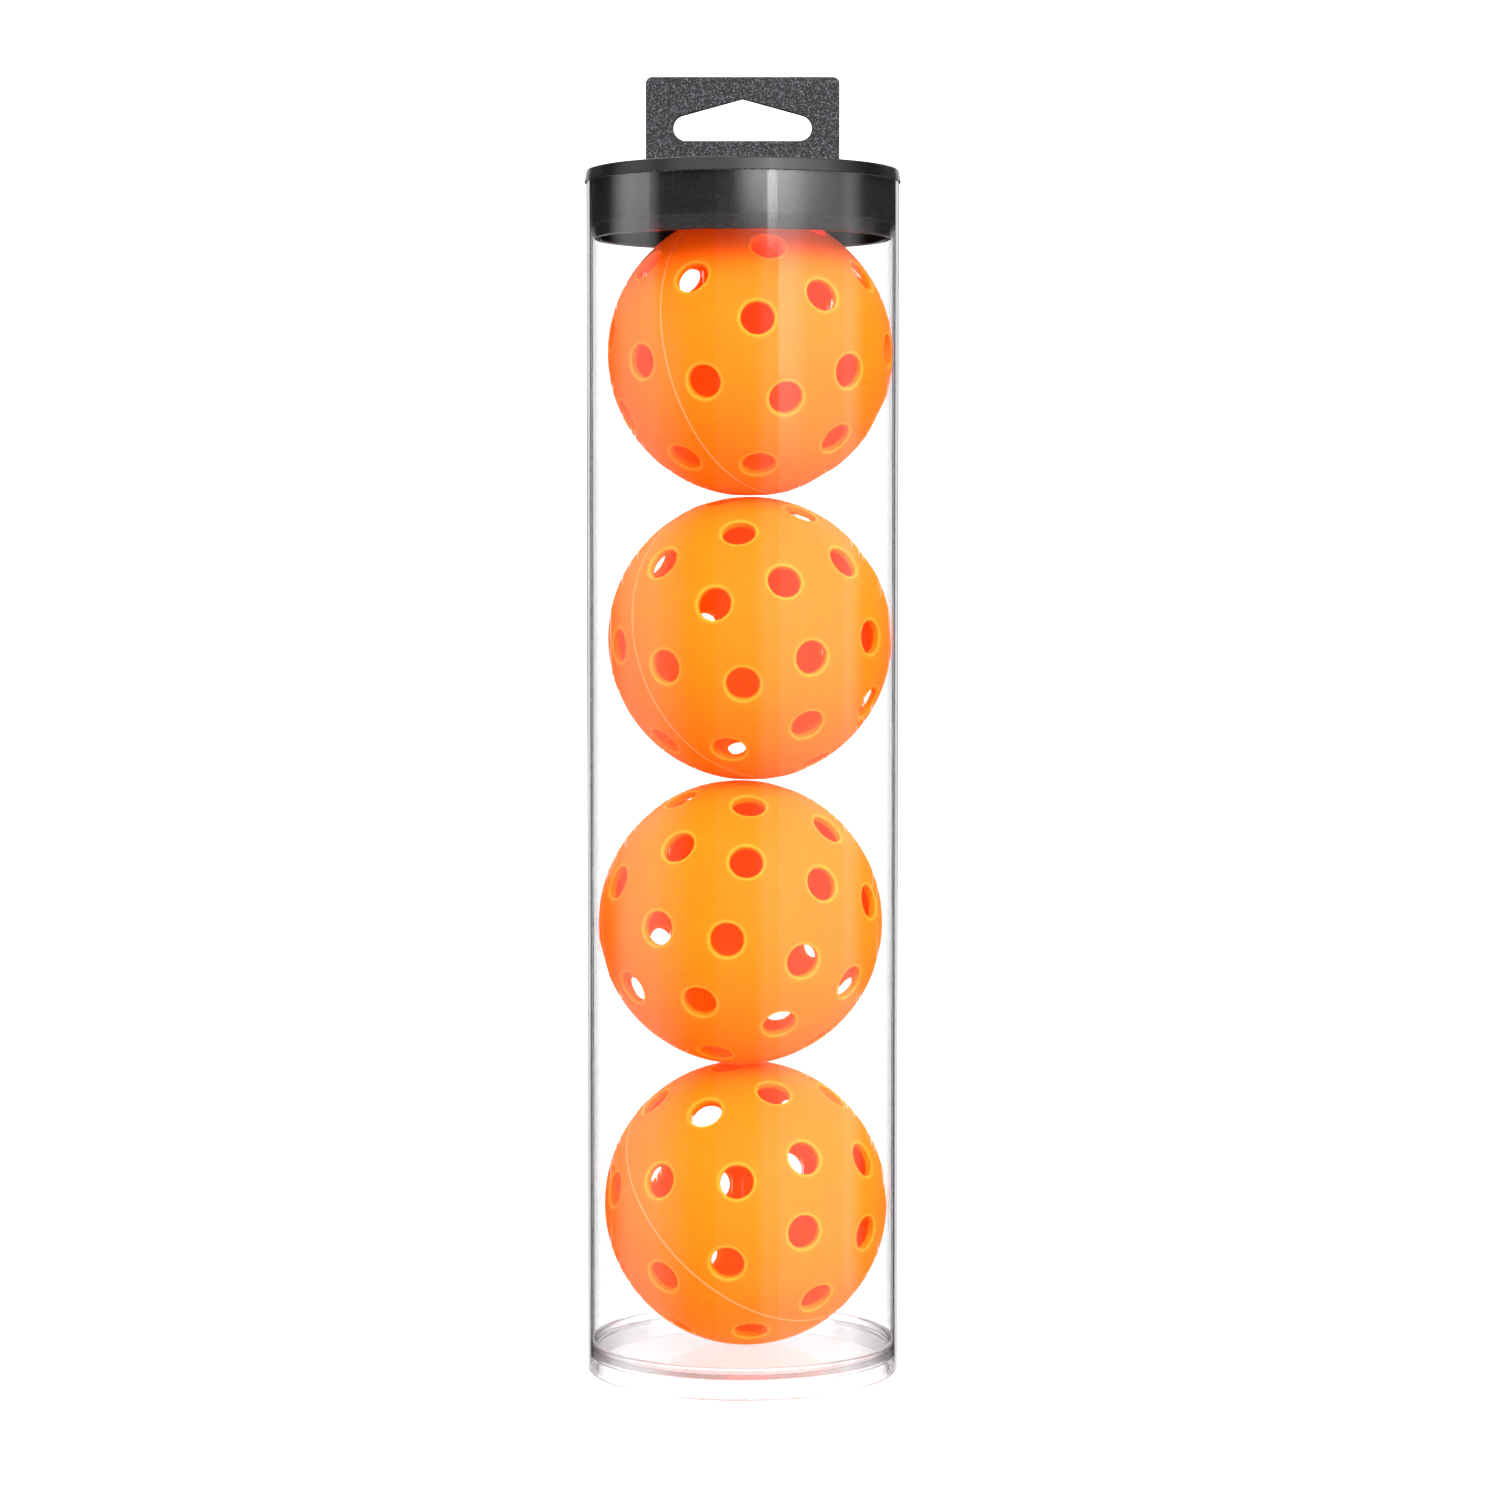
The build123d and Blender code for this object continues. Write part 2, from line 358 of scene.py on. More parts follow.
def ball_tree():
    """A perforated ball of two equal halves, welded at the seam, laid at its place in the tube."""
    tree, given = geometry_tree(
        "Perforated Ball",
        (
            ("Geometry", "NodeSocketGeometry"),
            ("Radius", "NodeSocketFloat"),
            ("Wall", "NodeSocketFloat"),
            ("Hole Radius", "NodeSocketFloat"),
            ("Hole Edge", "NodeSocketFloat"),
            ("Bead Width", "NodeSocketFloat"),
            ("Bead Height", "NodeSocketFloat"),
            ("Half Turn", "NodeSocketFloat"),
            ("Fill Detail", "NodeSocketInt"),
            ("Centre", "NodeSocketVector"),
            ("Bearing", "NodeSocketFloat"),
            ("Lean", "NodeSocketFloat"),
            ("Turn", "NodeSocketFloat"),
            ("Material", "NodeSocketMaterial"),
        ),
    )
    skin, grow = perforated_skin_tree(), grown_edge_tree()
    radius, hole, edge = given["Radius"], given["Hole Radius"], given["Hole Edge"]
    holes = add(tree, "GeometryNodeGroup", node_tree=hole_points_tree()).outputs[0]

    # Direction of the nearest hole's axis, and the direction straight away from that axis
    place = add(tree, "GeometryNodeInputPosition").outputs[0]
    outwards = add(tree, "ShaderNodeVectorMath", {0: place}, operation="NORMALIZE").outputs[0]
    nearest = add(
        tree, "GeometryNodeSampleNearest", {"Geometry": holes, "Sample Position": outwards}
    ).outputs[0]
    axis = add(
        tree,
        "GeometryNodeSampleIndex",
        {"Geometry": holes, "Value": place, "Index": nearest},
        data_type="FLOAT_VECTOR",
    ).outputs[0]
    along = add(tree, "ShaderNodeVectorMath", {0: place, 1: axis}, operation="DOT_PRODUCT")
    foot = add(
        tree, "ShaderNodeVectorMath", {0: axis, "Scale": along.outputs["Value"]}, operation="SCALE"
    )
    away = add(tree, "ShaderNodeVectorMath", {0: place, 1: foot.outputs[0]}, operation="SUBTRACT")
    away = add(tree, "ShaderNodeVectorMath", {0: away.outputs[0]}, operation="NORMALIZE").outputs[0]

    # Centre of the rounded edge's arc, in the plane of a hole's axis: its distance from the axis
    # and its height, then where the arc leaves the ball's surface
    arc_out = add(tree, "ShaderNodeMath", {0: hole, 1: edge}, operation="ADD").outputs[0]
    arc_reach = add(tree, "ShaderNodeMath", {0: radius, 1: edge}, operation="SUBTRACT").outputs[0]
    reach_squared = add(tree, "ShaderNodeMath", {0: arc_reach, 1: arc_reach}, operation="MULTIPLY")
    out_squared = add(tree, "ShaderNodeMath", {0: arc_out, 1: arc_out}, operation="MULTIPLY")
    up_squared = add(
        tree,
        "ShaderNodeMath",
        {0: reach_squared.outputs[0], 1: out_squared.outputs[0]},
        operation="SUBTRACT",
    )
    arc_up = add(tree, "ShaderNodeMath", {0: up_squared.outputs[0]}, operation="SQRT").outputs[0]
    first_angle = add(
        tree, "ShaderNodeMath", {0: arc_up, 1: arc_out}, operation="ARCTAN2"
    ).outputs[0]
    scale = add(tree, "ShaderNodeMath", {0: radius, 1: arc_reach}, operation="DIVIDE").outputs[0]
    opening = add(tree, "ShaderNodeMath", {0: arc_out, 1: scale}, operation="MULTIPLY").outputs[0]

    # Outer skin, then the rounded edges band by band
    half_bead = add(
        tree, "ShaderNodeMath", {0: given["Bead Width"], 1: 0.5}, operation="MULTIPLY"
    ).outputs[0]
    outer = add(
        tree,
        "GeometryNodeGroup",
        {
            "Holes": holes,
            "Radius": radius,
            "Opening Radius": opening,
            "Seam Level": half_bead,
            "Fill Detail": given["Fill Detail"],
        },
        node_tree=skin,
    ).outputs[0]
    faces = add(tree, "GeometryNodeInputMeshEdgeNeighbors").outputs[0]
    border = add(
        tree, "FunctionNodeCompare", {2: faces, 3: 1}, data_type="INT", operation="EQUAL"
    ).outputs[0]
    up = add(tree, "ShaderNodeSeparateXYZ", {0: place}).outputs["Z"]
    seam_side = add(
        tree, "ShaderNodeMath", {0: half_bead, 1: SEAM_TOLERANCE}, operation="ADD"
    ).outputs[0]
    at_seam = add(
        tree, "FunctionNodeCompare", {"A": up, "B": seam_side}, operation="LESS_THAN"
    ).outputs[0]
    seam_edge = add(
        tree, "FunctionNodeBooleanMath", {0: border, 1: at_seam}, operation="AND"
    ).outputs[0]
    hole_edge = add(
        tree, "FunctionNodeBooleanMath", {0: border, 1: at_seam}, operation="NIMPLY"
    ).outputs[0]

    grown, chosen = outer, hole_edge
    for step in range(1, EDGE_STEPS + 1):
        share = step / EDGE_STEPS
        kept = add(
            tree, "ShaderNodeMath", {0: first_angle, 1: 1 - share}, operation="MULTIPLY"
        ).outputs[0]
        angle = add(
            tree, "ShaderNodeMath", {0: kept, 1: math.pi * share}, operation="ADD"
        ).outputs[0]
        cosine = add(tree, "ShaderNodeMath", {0: angle}, operation="COSINE").outputs[0]
        sine = add(tree, "ShaderNodeMath", {0: angle}, operation="SINE").outputs[0]
        out = add(
            tree, "ShaderNodeMath", {0: cosine, 1: edge, 2: arc_out}, operation="MULTIPLY_ADD"
        ).outputs[0]
        height = add(
            tree, "ShaderNodeMath", {0: sine, 1: edge, 2: arc_up}, operation="MULTIPLY_ADD"
        ).outputs[0]
        sideways = add(tree, "ShaderNodeVectorMath", {0: away, "Scale": out}, operation="SCALE")
        upwards = add(tree, "ShaderNodeVectorMath", {0: axis, "Scale": height}, operation="SCALE")
        target = add(
            tree,
            "ShaderNodeVectorMath",
            {0: sideways.outputs[0], 1: upwards.outputs[0]},
            operation="ADD",
        ).outputs[0]
        band = add(
            tree,
            "GeometryNodeGroup",
            {"Geometry": grown, "Selection": chosen, "Place": target},
            node_tree=grow,
        )
        grown, chosen = band.outputs

    # Hole wall, down to the inner skin
    inner_radius = add(
        tree, "ShaderNodeMath", {0: radius, 1: given["Wall"]}, operation="SUBTRACT"
    ).outputs[0]
    inner_squared = add(
        tree, "ShaderNodeMath", {0: inner_radius, 1: inner_radius}, operation="MULTIPLY"
    )
    hole_squared = add(tree, "ShaderNodeMath", {0: hole, 1: hole}, operation="MULTIPLY")
    drop_squared = add(
        tree,
        "ShaderNodeMath",
        {0: inner_squared.outputs[0], 1: hole_squared.outputs[0]},
        operation="SUBTRACT",
    )
    drop = add(tree, "ShaderNodeMath", {0: drop_squared.outputs[0]}, operation="SQRT").outputs[0]
    sideways = add(tree, "ShaderNodeVectorMath", {0: away, "Scale": hole}, operation="SCALE")
    upwards = add(tree, "ShaderNodeVectorMath", {0: axis, "Scale": drop}, operation="SCALE")
    target = add(
        tree,
        "ShaderNodeVectorMath",
        {0: sideways.outputs[0], 1: upwards.outputs[0]},
        operation="ADD",
    ).outputs[0]
    walled = add(
        tree,
        "GeometryNodeGroup",
        {"Geometry": grown, "Selection": chosen, "Place": target},
        node_tree=grow,
    ).outputs[0]

    # Weld bead: bands that swell to the seam
    flat = add(tree, "ShaderNodeVectorMath", {0: place, 1: (1, 1, 0)}, operation="MULTIPLY")
    flat = add(tree, "ShaderNodeVectorMath", {0: flat.outputs[0]}, operation="NORMALIZE").outputs[0]
    grown, chosen = walled, seam_edge
    for step in range(1, BEAD_STEPS + 1):
        share = 1 - step / BEAD_STEPS
        swell = add(
            tree,
            "ShaderNodeMath",
            {0: given["Bead Height"], 1: 1 - share**2, 2: radius},
            operation="MULTIPLY_ADD",
        ).outputs[0]
        level = add(
            tree, "ShaderNodeMath", {0: half_bead, 1: share}, operation="MULTIPLY"
        ).outputs[0]
        sideways = add(tree, "ShaderNodeVectorMath", {0: flat, "Scale": swell}, operation="SCALE")
        upwards = add(tree, "ShaderNodeCombineXYZ", {"Z": level})
        target = add(
            tree,
            "ShaderNodeVectorMath",
            {0: sideways.outputs[0], 1: upwards.outputs[0]},
            operation="ADD",
        ).outputs[0]
        band = add(
            tree,
            "GeometryNodeGroup",
            {"Geometry": grown, "Selection": chosen, "Place": target},
            node_tree=grow,
        )
        grown, chosen = band.outputs

    # Inner skin, turned inside out
    inner = add(
        tree,
        "GeometryNodeGroup",
        {
            "Holes": holes,
            "Radius": inner_radius,
            "Opening Radius": hole,
            "Seam Level": 0.0,
            "Fill Detail": given["Fill Detail"],
        },
        node_tree=skin,
    ).outputs[0]
    inner = add(tree, "GeometryNodeFlipFaces", {0: inner}).outputs[0]
    half = add(tree, "GeometryNodeJoinGeometry")
    for part in (grown, inner):
        tree.links.new(part, half.inputs[0])

    # Distances from a hole's axis and from the seam, for the plastic's painted hole-edge highlight
    # and its seam colour
    off_axis = add(
        tree, "ShaderNodeVectorMath", {0: place, 1: foot.outputs[0]}, operation="DISTANCE"
    ).outputs["Value"]
    off_seam = add(tree, "ShaderNodeMath", {0: up}, operation="ABSOLUTE").outputs[0]
    for label, value in (("hole_distance", off_axis), ("seam_distance", off_seam)):
        half = add(
            tree,
            "GeometryNodeStoreNamedAttribute",
            {"Geometry": half.outputs[0], "Name": label, "Value": value},
            data_type="FLOAT",
            domain="POINT",
        )

    # The other half, turned over and welded on
    back_turn = add(
        tree, "ShaderNodeMath", {0: given["Half Turn"], 1: -1.0}, operation="MULTIPLY"
    ).outputs[0]
    flip = add(tree, "ShaderNodeCombineXYZ", {"X": math.pi, "Z": back_turn}).outputs[0]
    other = add(
        tree, "GeometryNodeTransform", {"Geometry": half.outputs[0], "Rotation": flip}
    ).outputs[0]
    whole = add(tree, "GeometryNodeJoinGeometry")
    for part in (half.outputs[0], other):
        tree.links.new(part, whole.inputs[0])
    welded = add(
        tree,
        "GeometryNodeMergeByDistance",
        {"Geometry": whole.outputs[0], "Distance": SEAM_TOLERANCE},
    ).outputs[0]

    # Its place in the tube
    spin = add(tree, "ShaderNodeCombineXYZ", {"Z": given["Turn"]}).outputs[0]
    spun = add(tree, "GeometryNodeTransform", {"Geometry": welded, "Rotation": spin}).outputs[0]
    tilt = add(
        tree, "ShaderNodeCombineXYZ", {"Y": given["Lean"], "Z": given["Bearing"]}
    ).outputs[0]
    laid = add(
        tree,
        "GeometryNodeTransform",
        {"Geometry": spun, "Rotation": tilt, "Translation": given["Centre"]},
    ).outputs[0]
    real = add(tree, "GeometryNodeRealizeInstances", {0: laid}).outputs[0]
    painted = add(
        tree, "GeometryNodeSetMaterial", {"Geometry": real, "Material": given["Material"]}
    )
    add(tree, "NodeGroupOutput", {0: painted.outputs[0]})
    return tree


def ball_centre(*nodes):
    """Centre of the sphere through the outside of a ball's shells."""
    low = Vector(map(min, *(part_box(node)[0] for node in nodes)))
    high = Vector(map(max, *(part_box(node)[1] for node in nodes)))
    centre = np.array((low + high) / 2)
    radius = bpy.context.scene.ball_sizes.diameter / 2
    points = np.array(
        [vertex.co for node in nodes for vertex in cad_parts[node].data.vertices], float
    )
    for tolerance in (0.3 * MM, 0.03 * MM):
        distance = np.linalg.norm(points - centre, axis=1)
        outside = points[np.abs(distance - radius) < tolerance]
        system = np.c_[2 * outside, np.ones(len(outside))]
        centre = np.linalg.lstsq(system, (outside**2).sum(1), rcond=None)[0][:3]
    return Vector(centre)


def set_inputs(modifier, values):
    """Sets a geometry modifier's inputs by their names."""
    sockets = {item.name: item.identifier for item in modifier.node_group.interface.items_tree}
    for name, value in values.items():
        modifier[sockets[name]] = value


def plain_mesh(piece):
    """Turns a piece with live modifiers into a plain mesh with smooth faces and sharp corners."""
    bpy.context.view_layer.update()
    evaluated = piece.evaluated_get(bpy.context.evaluated_depsgraph_get())
    mesh = bpy.data.meshes.new_from_object(evaluated)
    mesh.name = piece.name
    piece.modifiers.clear()
    piece.data = mesh
    mesh.polygons.foreach_set("use_smooth", [True] * len(mesh.polygons))
    mesh.set_sharp_from_angle(angle=BALL_CREASE)
    return piece


class BALLPACK_OT_balls(bpy.types.Operator):
    """Makes the perforated balls"""

    bl_idname = "ballpack.balls"
    bl_label = "Make Balls"

    def execute(self, context):
        sizes = context.scene.ball_sizes
        tree = ball_tree()
        material = moulded_ball_plastic()
        for name, (bearing, lean, turn) in BALL_LIES.items():
            shells = (f"{name}_shell_a", f"{name}_shell_b")
            piece = bpy.data.objects.new(name, bpy.data.meshes.new(name))
            context.collection.objects.link(piece)
            modifier = piece.modifiers.new("Perforated Ball", "NODES")
            modifier.node_group = tree
            set_inputs(
                modifier,
                {
                    "Radius": sizes.diameter / 2,
                    "Wall": sizes.wall,
                    "Hole Radius": sizes.hole_diameter / 2,
                    "Hole Edge": sizes.hole_edge,
                    "Bead Width": sizes.bead_width,
                    "Bead Height": sizes.bead_height,
                    "Half Turn": sizes.half_turn,
                    "Fill Detail": FILL_DETAIL,
                    "Centre": ball_centre(*shells),
                    "Bearing": math.radians(bearing),
                    "Lean": math.radians(lean),
                    "Turn": math.radians(turn),
                    "Material": material,
                },
            )
            finished(plain_mesh(piece), name, "ball_plastic", *shells)
        return {"FINISHED"}


# ---------------------------------------------------------------- tube and plug


def turned_piece(name, profile, material, steps=TURN_STEPS):
    """A closed piece turned about Z from a closed profile of (radius, height) points. A profile
    that starts and ends on the axis is closed there by two poles."""
    poled = profile[0][0] == 0
    rings = profile[1:-1] if poled else profile
    angles = np.linspace(0, math.tau, steps, endpoint=False)
    verts = [
        (radius * math.cos(a), radius * math.sin(a), height)
        for radius, height in rings
        for a in angles
    ]
    faces = []
    last = len(rings) - 1 if poled else len(rings)
    for ring in range(last):
        here, there = ring * steps, (ring + 1) % len(rings) * steps
        for step in range(steps):
            after = (step + 1) % steps
            faces.append((here + step, here + after, there + after, there + step))
    if poled:
        for (_, height), start in ((profile[0], 0), (profile[-1], (len(rings) - 1) * steps)):
            verts.append((0, 0, height))
            for step in range(steps):
                faces.append((start + step, start + (step + 1) % steps, len(verts) - 1))
    mesh = bpy.data.meshes.new(name)
    mesh.from_pydata(verts, [], faces)
    mesh.materials.append(material)
    piece = bpy.data.objects.new(name, mesh)
    bpy.context.collection.objects.link(piece)
    outward_normals(mesh)
    mesh.polygons.foreach_set("use_smooth", [True] * len(mesh.polygons))
    mesh.set_sharp_from_angle(angle=TURNED_CREASE)
    return piece


def outward_normals(mesh):
    """Turns every face of a closed mesh outwards."""
    shape = bmesh.new()
    shape.from_mesh(mesh)
    bmesh.ops.recalc_face_normals(shape, faces=shape.faces)
    shape.to_mesh(mesh)
    shape.free()


def rounded(profile, radii, steps=CORNER_STEPS):
    """A closed profile with its corners rounded. A radius of 0 keeps a corner."""
    points = []
    count = len(profile)
    for i, radius in enumerate(radii):
        corner = Vector(profile[i])
        if radius == 0:
            points.append(tuple(corner))
            continue
        back = (Vector(profile[i - 1]) - corner).normalized()
        ahead = (Vector(profile[(i + 1) % count]) - corner).normalized()
        half = back.angle(ahead) / 2
        middle = corner + (back + ahead).normalized() * radius / math.sin(half)
        start = corner + back * radius / math.tan(half) - middle
        end = corner + ahead * radius / math.tan(half) - middle
        sweep = start.angle(end)
        for step in range(steps + 1):
            share = step / steps
            turned = (
                start * math.sin((1 - share) * sweep) + end * math.sin(share * sweep)
            ) / math.sin(sweep)
            points.append(tuple(middle + turned))
    return points


def held_flat(profile, hold):
    """Adds a point near both ends of each long run, so that smooth shading stays flat between."""
    points = []
    for here, ahead in zip(profile, profile[1:] + profile[:1]):
        here, ahead = Vector(here), Vector(ahead)
        points.append(tuple(here))
        run = ahead - here
        if run.length > 4 * hold:
            points.append(tuple(here + run.normalized() * hold))
            points.append(tuple(ahead - run.normalized() * hold))
    return points


class BALLPACK_OT_tube(bpy.types.Operator):
    """Makes the clear tube"""

    bl_idname = "ballpack.tube"
    bl_label = "Make Tube"

    def execute(self, context):
        sizes = context.scene.tube_sizes
        low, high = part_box("tube")
        outer = high.x
        inner = outer - sizes.wall
        corners = [(inner, low.z), (outer, low.z), (outer, high.z), (inner, high.z)]
        profile = held_flat(rounded(corners, [sizes.lip] * 4), FLAT_HOLD)
        piece = turned_piece("clear_tube", profile, drawn_clear_plastic())
        finished(piece, "tube", "clear_tube", "tube")
        return {"FINISHED"}


class BALLPACK_OT_foot_plug(bpy.types.Operator):
    """Makes the clear plug at the tube's foot"""

    bl_idname = "ballpack.foot_plug"
    bl_label = "Make Foot Plug"

    def execute(self, context):
        sizes = context.scene.tube_sizes
        low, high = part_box("base_cap")
        flange = high.x
        spigot = flange - sizes.spigot_gap - sizes.wall
        well = spigot - sizes.spigot_wall
        recess = flange - sizes.flange_wall
        ceiling = sizes.floor_height - sizes.floor_wall
        corners = [
            ((0, sizes.floor_height), 0),
            ((well, sizes.floor_height), 0.4 * MM),
            ((well, high.z), 0.7 * MM),
            ((spigot, high.z), 0.7 * MM),
            ((spigot, sizes.flange_height), 0),
            ((flange, sizes.flange_height), 0.2 * MM),
            ((flange, low.z), 0.5 * MM),
            ((recess, low.z), 0.5 * MM),
            ((recess, ceiling), 0.3 * MM),
            ((0, ceiling), 0),
        ]
        outline = rounded([point for point, _ in corners], [radius for _, radius in corners])
        profile = held_flat(outline, FLAT_HOLD)[:-2]
        piece = turned_piece("foot_plug", profile, moulded_clear_plastic())
        finished(piece, "tube", "clear_plug", "base_cap")
        return {"FINISHED"}


class BALLPACK_OT_hang_cap(bpy.types.Operator):
    """Finishes the cap with its hanging tab"""

    bl_idname = "ballpack.hang_cap"
    bl_label = "Finish Hang Cap"

    def execute(self, context):
        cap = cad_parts["hang_cap"]
        cap.data.materials.clear()
        cap.data.materials.append(spark_eroded_cap_plastic())
        return {"FINISHED"}


# ---------------------------------------------------------------- materials


def surface_material(name):
    """An empty node material, with its tree."""
    material = bpy.data.materials.new(name)
    material.use_nodes = True
    tree = material.node_tree
    tree.nodes.clear()
    return material, tree


def moulded_ball_plastic():
    """Translucent fluorescent orange polyethylene, injection moulded: satin, with flow clouds, hole
    edges painted yellow as a painted highlight where light collects in them, and a painted glow."""
    material, tree = surface_material("Moulded Fluorescent Polyethylene")
    sizes = bpy.context.scene.ball_sizes
    coords = add(tree, "ShaderNodeTexCoord").outputs["Object"]

    def near(label, start, end):
        """1 at end or nearer, 0 at start or further, by a distance kept on the mesh."""
        distance = add(tree, "ShaderNodeAttribute", attribute_name=label).outputs["Fac"]
        return add(
            tree,
            "ShaderNodeMapRange",
            {"Value": distance, 1: start, 2: end, 3: 0.0, 4: 1.0},
            interpolation_type="SMOOTHSTEP",
        ).outputs["Result"]

    hole = sizes.hole_diameter / 2
    # Painted highlight: a yellow ring just outside each hole, where the rounded edge would catch
    # light and glow
    rim = add(
        tree,
        "ShaderNodeMath",
        {
            0: near("hole_distance", hole + 1.3 * MM, hole + 0.5 * MM),
            1: near("hole_distance", hole + 0.25 * MM, hole),
        },
        operation="SUBTRACT",
    ).outputs[0]
    seam = near("seam_distance", 0.45 * MM, 0.1 * MM)
    # Flow clouds about 22 mm across
    clouds = add(tree, "ShaderNodeTexNoise", {"Vector": coords, "Scale": 45.0, "Detail": 3.0})
    colour = add(
        tree,
        "ShaderNodeMix",
        {"Factor": clouds.outputs["Fac"], "A": linear("#ff9f1e"), "B": linear("#ff9616")},
        data_type="RGBA",
    ).outputs["Result"]
    # Painted highlight colour at the hole edges, and a paler cream along the seam
    for mask, share, shade in ((rim, 0.5, "#ffd84e"), (seam, 0.45, "#ffe0a8")):
        factor = add(tree, "ShaderNodeMath", {0: mask, 1: share}, operation="MULTIPLY").outputs[0]
        mixed = add(
            tree, "ShaderNodeMix", {"Factor": factor, "B": linear(shade)}, data_type="RGBA"
        )
        tree.links.new(colour, mixed.inputs["A"])
        colour = mixed.outputs["Result"]
    # Satin grain about 0.5 mm across, coarser than the real one
    grain = add(tree, "ShaderNodeTexNoise", {"Vector": coords, "Scale": 1800.0, "Detail": 2.0})
    bump = add(
        tree,
        "ShaderNodeBump",
        {"Height": grain.outputs["Fac"], "Distance": 0.02 * MM, "Strength": 0.5},
    )
    shader = add(
        tree,
        "ShaderNodeBsdfPrincipled",
        {
            "Base Color": colour,
            "Roughness": 0.42,
            "IOR": 1.51,
            "Specular IOR Level": 0.1,
            "Subsurface Weight": 1.0,
            "Subsurface Radius": (1.0, 0.35, 0.1),
            "Subsurface Scale": 1.5 * MM,
            # Painted glow: an orange emission all over the ball, standing in for light that comes
            # through the wall into its shaded parts
            "Emission Color": linear("#ff5900"),
            "Emission Strength": 0.5,
            "Normal": bump.outputs[0],
        },
    )
    # The dye turns blue and green light into orange, so the ball gives back more red than it gets
    warm = add(
        tree, "ShaderNodeVectorMath", {0: colour, 1: (3.0, 1.0, 1.0)}, operation="MULTIPLY"
    ).outputs[0]
    dye = add(tree, "ShaderNodeBsdfDiffuse", {"Color": warm, "Normal": bump.outputs[0]})
    both = add(tree, "ShaderNodeMixShader", {0: 0.5, 1: shader.outputs[0], 2: dye.outputs[0]})
    add(tree, "ShaderNodeOutputMaterial", {"Surface": both.outputs[0]})
    return material


def clear_plastic(name, painted_edge_colours, tint, density, straight=0.0, bump=None):
    """Clear plastic that lets lamps and a share of every look straight through. Its colour goes by
    how far a wall turns from the eye: a painted reflection that darkens a wall where it is looked
    along."""
    material, tree = surface_material(name)
    # Painted reflection: the colour darkens with Facing, standing in for the dark room the walls
    # reflect at a glancing look
    turned = add(tree, "ShaderNodeLayerWeight", {"Blend": 0.5}).outputs["Facing"]
    ramp = add(tree, "ShaderNodeValToRGB", {"Fac": turned})
    stops = ramp.color_ramp.elements
    while len(stops) < len(painted_edge_colours):
        stops.new(0.5)
    for stop, (place, colour) in zip(stops, painted_edge_colours):
        stop.position, stop.color = place, linear(colour)
    # Only upright walls get the painted edge reflection: level faces keep the first colour
    normal = add(tree, "ShaderNodeNewGeometry").outputs["Normal"]
    upright = add(tree, "ShaderNodeSeparateXYZ", {0: normal}).outputs["Z"]
    level = add(tree, "ShaderNodeMath", {0: upright}, operation="ABSOLUTE").outputs[0]
    tone = add(
        tree,
        "ShaderNodeMix",
        {"Factor": level, "B": linear(painted_edge_colours[0][1])},
        data_type="RGBA",
    )
    tree.links.new(ramp.outputs["Color"], tone.inputs["A"])
    glass = add(
        tree,
        "ShaderNodeBsdfPrincipled",
        {
            "Base Color": tone.outputs["Result"],
            "Roughness": 0.0,
            "IOR": 1.57,
            "Transmission Weight": 1.0,
        },
    )
    if bump:
        tree.links.new(bump(tree), glass.inputs["Normal"])
    lamps = add(tree, "ShaderNodeBsdfTransparent")
    clear = add(tree, "ShaderNodeLightPath").outputs["Is Shadow Ray"]
    if straight:
        clear = add(tree, "ShaderNodeMath", {0: clear, 1: straight}, operation="MAXIMUM").outputs[0]
    surface = add(
        tree,
        "ShaderNodeMixShader",
        {0: clear, 1: glass.outputs[0], 2: lamps.outputs[0]},
    )
    volume = add(tree, "ShaderNodeVolumeAbsorption", {"Color": tint, "Density": density})
    add(
        tree,
        "ShaderNodeOutputMaterial",
        {"Surface": surface.outputs[0], "Volume": volume.outputs[0]},
    )
    return material


def die_lines(tree):
    """A normal for the faint lines, about 0.7 mm wide, that the die draws along the tube."""
    coords = add(tree, "ShaderNodeTexCoord").outputs["Object"]
    part = add(tree, "ShaderNodeSeparateXYZ", {0: coords}).outputs
    around = add(tree, "ShaderNodeMath", {0: part["X"], 1: part["Y"]}, operation="ARCTAN2")
    slow = add(tree, "ShaderNodeMath", {0: part["Z"], 1: 0.4}, operation="MULTIPLY").outputs[0]
    place = add(tree, "ShaderNodeCombineXYZ", {"X": around.outputs[0], "Z": slow}).outputs[0]
    lines = add(tree, "ShaderNodeTexNoise", {"Vector": place, "Scale": 60.0, "Detail": 2.0})
    sharp = add(
        tree,
        "ShaderNodeMapRange",
        {"Value": lines.outputs["Fac"], 1: 0.60, 2: 0.68, 3: 0.0, 4: 1.0},
        interpolation_type="SMOOTHSTEP",
    ).outputs["Result"]
    return add(
        tree,
        "ShaderNodeBump",
        {"Height": sharp, "Distance": 0.006 * MM, "Strength": 0.4},
    ).outputs[0]


def drawn_clear_plastic():
    """Extruded polyester: glossy and colourless, with faint drawn lines. Its edge is painted with
    two dark lines and a pale band between, as a painted reflection."""
    # Painted reflection: white facing the eye, then two dark lines with a pale band between at the
    # edge
    stops = (
        (0.0, "#ffffff"),
        (0.755, "#ffffff"),
        (0.768, "#3a383a"),
        (0.785, "#3a383a"),
        (0.80, "#d2d0da"),
        (0.87, "#d2d0da"),
        (0.90, "#2a282a"),
    )
    return clear_plastic("Extruded Polyester", stops, linear("#c9ccd2"), 20.0, bump=die_lines)


def moulded_clear_plastic():
    """Injection moulded polystyrene: glossy, with a painted grey reflection where it is looked
    along.
    """
    # Painted reflection: greyer towards the edge
    stops = ((0.0, "#f4f2f4"), (0.45, "#e4e2e6"), (0.75, "#a8a6ac"), (0.93, "#6c6a70"))
    return clear_plastic("Moulded Polystyrene", stops, linear("#d6d6da"), 8.0, straight=0.22)


CAP_RIM = 3.25  # mm from the tube's end to the cap's top face
POLISHED = 0.04  # grain depth of the polished mould, as a share of the tab's


